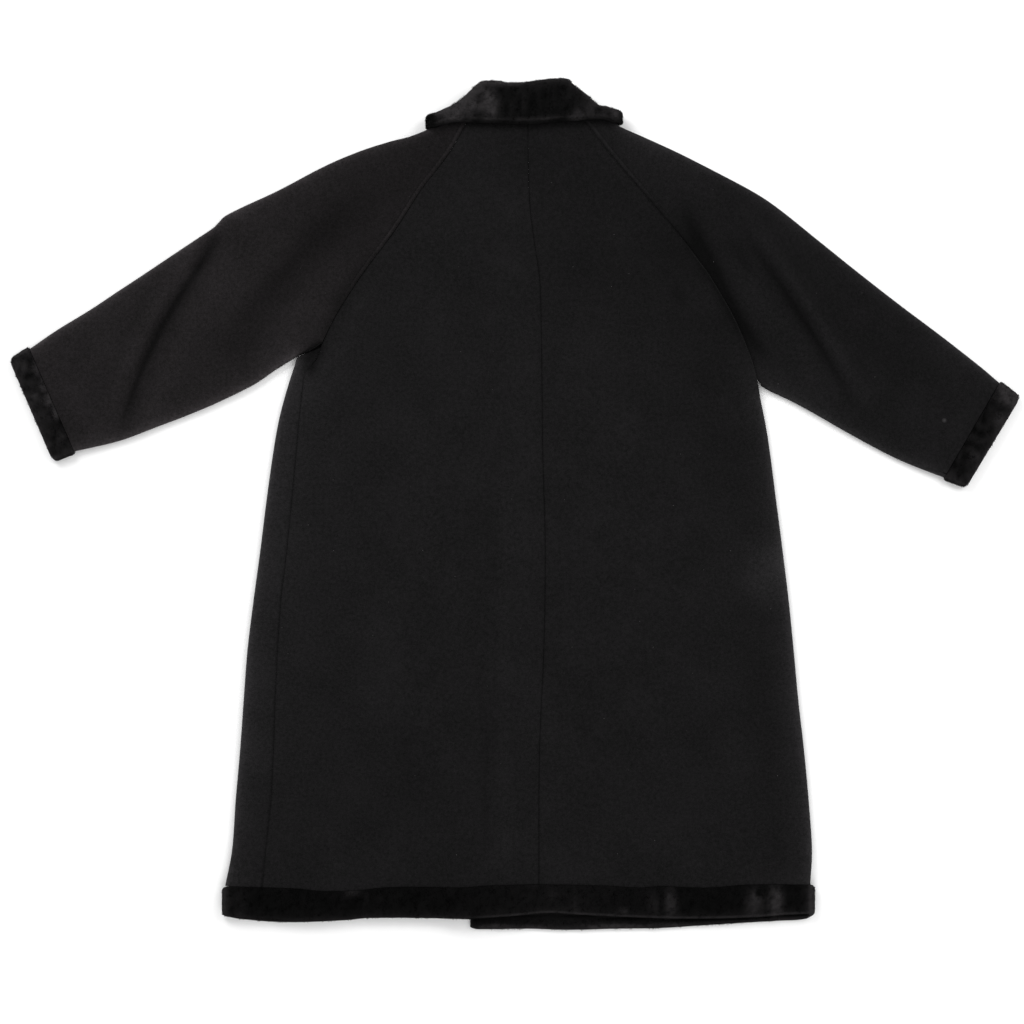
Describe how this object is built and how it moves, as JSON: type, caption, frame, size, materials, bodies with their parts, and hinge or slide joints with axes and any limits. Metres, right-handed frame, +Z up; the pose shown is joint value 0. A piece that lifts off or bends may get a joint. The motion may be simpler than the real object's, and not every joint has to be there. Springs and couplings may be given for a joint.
{
  "type": "wool coat",
  "caption": "Long loose raglan coat in black brushed wool with a black sheared fur collar, cuffs and hem band, laid flat with its back up.",
  "frame": {"origin": "under the middle of the coat, on the surface that it lies on", "axes": "+X towards the wearer's right sleeve, +Y towards the neck, +Z up out of the back of the coat"},
  "size_m": [1.4092, 1.189, 0.0304],
  "materials": {
    "wool": "brushed black wool coating with a short soft nap",
    "fur": "dense black sheared fur, brushed in patches that catch the light"
  },
  "bodies": {
    "root": {"back_left": "wool", "back_right": "wool", "front_left": "wool", "front_right": "wool", "sleeve_left_back": "wool", "sleeve_left_front": "wool", "sleeve_right_back": "wool", "sleeve_right_front": "wool", "collar": "fur", "cuff_left": "fur", "cuff_right": "fur", "hem_back": "fur", "hem_front_left": "fur", "hem_front_right": "fur"}
  },
  "joints": []
}
